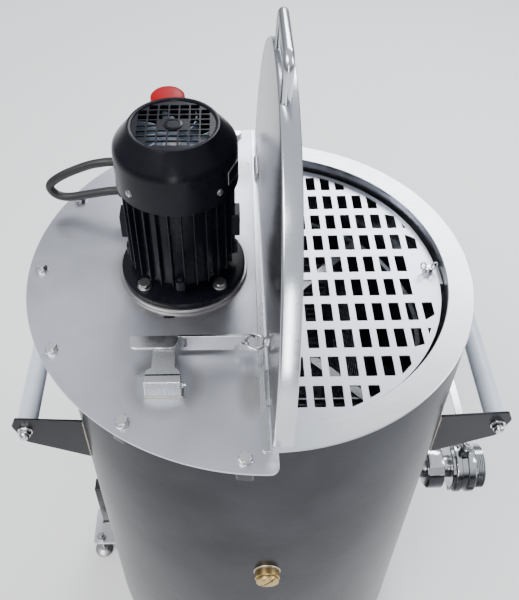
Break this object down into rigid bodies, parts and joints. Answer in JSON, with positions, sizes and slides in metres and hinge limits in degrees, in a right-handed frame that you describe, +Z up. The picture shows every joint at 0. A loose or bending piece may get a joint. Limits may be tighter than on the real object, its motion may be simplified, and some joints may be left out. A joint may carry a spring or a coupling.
{
  "type": "honey extractor",
  "caption": "Floor-standing honey extractor: stainless double-walled drum with a half cover carrying a flanged motor, an open half lid, a guard grille, side handles and a bottom outlet valve.",
  "frame": {"origin": "centre of the flat base plate's underside, on the drum axis", "axes": "+Z up along the drum axis, +X towards the open lid half and the outlet, -Y towards the operator"},
  "size_m": [0.758, 0.61, 1.1416],
  "materials": {
    "brushed_stainless": "satin brushed, faintly blotched",
    "dark_stainless": "brushed, reflecting a dark room",
    "polished_stainless": "polished",
    "machined_steel": "machined, bare",
    "black_paint": "satin graphite black",
    "black_plastic": "matte",
    "pale_plastic": "matte bluish white",
    "white_plastic": "smooth, slightly blue white",
    "red_plastic": "glossy",
    "black_rubber": "matt sheath",
    "gasket_rubber": "pale food-grade",
    "brass": "turned, bright",
    "aluminium": "turned"
  },
  "bodies": {
    "base": {"base_plate": "brushed_stainless", "brass_plug": "brass", "cable_gland_lower": "black_plastic", "cable_gland_upper": "black_plastic", "cover_bolt_1": "brushed_stainless", "cover_bolt_2": "brushed_stainless", "cover_bolt_3": "brushed_stainless", "cover_bolt_4": "brushed_stainless", "cover_bolt_5": "brushed_stainless", "cover_bolt_6": "brushed_stainless", "cover_bolt_7": "brushed_stainless", "cover_gasket": "gasket_rubber", "crossbar": "brushed_stainless", "drive_belt": "black_rubber", "fan_cowl": "black_paint", "grille_ledge": "brushed_stainless", "half_cover": "brushed_stainless", "handle_bracket_left_back": "dark_stainless", "handle_bracket_left_front": "dark_stainless", "handle_bracket_right_back": "dark_stainless", "handle_bracket_right_front": "dark_stainless", "handle_grip_left": "white_plastic", "handle_grip_right": "white_plastic", "handle_rod_left": "brushed_stainless", "handle_rod_right": "brushed_stainless", "hinge_strip": "brushed_stainless", "inner_tank": "brushed_stainless", "levelling_foot_1": "brushed_stainless", "levelling_foot_2": "brushed_stainless", "levelling_foot_3": "brushed_stainless", "motor_cable": "black_rubber", "motor_flange": "black_paint", "motor_frame": "black_paint", "motor_spacer": "brushed_stainless", "motor_stator": "machined_steel", "outer_jacket": "dark_stainless", "outlet_pipe": "brushed_stainless", "rest_bracket": "brushed_stainless", "rim_ring": "brushed_stainless", "switch_box": "black_plastic", "terminal_box": "black_paint", "union_nut": "polished_stainless", "valve_body": "polished_stainless"},
    "lid": {"lid_pan": "polished_stainless", "lid_handle": "brushed_stainless", "lid_eye_bolt": "brushed_stainless", "lid_hinge_leaf_front": "brushed_stainless", "lid_hinge_leaf_back": "brushed_stainless"},
    "stay": {"stay_bar": "brushed_stainless"},
    "grille": {"guard_grille": "brushed_stainless"},
    "wing": {"wing_screw": "brushed_stainless"},
    "rotor": {"motor_rotor": "machined_steel", "cooling_fan": "pale_plastic", "drive_pulley": "aluminium"},
    "cage": {"main_shaft": "machined_steel", "driven_pulley": "aluminium", "frame_cage": "brushed_stainless"},
    "valve": {"valve_ball": "polished_stainless", "valve_lever": "polished_stainless"},
    "estop": {"estop_button": "red_plastic"}
  },
  "joints": [
    {"name": "lid_hinge", "type": "hinge", "parent": "base", "child": "lid", "pos_m": [0.001, 0, 0.7995], "axis": [0, -1, 0], "range_deg": [-88.2, 0]},
    {"name": "stay_bar_swing", "type": "hinge", "parent": "lid", "child": "stay", "pos_m": [-0.024, -0.1435, 0.811], "axis": [0, 1, 0], "range_deg": [0, 88]},
    {"name": "grille_hinge", "type": "hinge", "parent": "base", "child": "grille", "pos_m": [0.01, 0, 0.7684], "axis": [0, -1, 0], "range_deg": [0, 75]},
    {"name": "wing_screw_turn", "type": "hinge", "parent": "grille", "child": "wing", "pos_m": [0.2245, 0.0055, 0.7697], "axis": [0, 0, 1], "continuous": true},
    {"name": "cage_spin", "type": "hinge", "parent": "base", "child": "cage", "pos_m": [0, 0, 0.5], "axis": [0, 0, 1], "continuous": true},
    {"name": "motor_spin", "type": "hinge", "parent": "base", "child": "rotor", "pos_m": [-0.1015, 0, 0.786], "axis": [0, 0, 1], "continuous": true},
    {"name": "valve_lever_turn", "type": "hinge", "parent": "base", "child": "valve", "pos_m": [0.3725, 0, 0.336], "axis": [0, 0, -1], "range_deg": [0, 90]},
    {"name": "estop_press", "type": "slide", "parent": "base", "child": "estop", "axis": [0, 0, -1], "range_m": [0, 0.004], "stiffness_N_per_m": 1500, "springref_m": -0.002}
  ],
  "couplings": [
    {"joint": "motor_spin", "follows": "cage_spin", "ratio": 3}
  ]
}
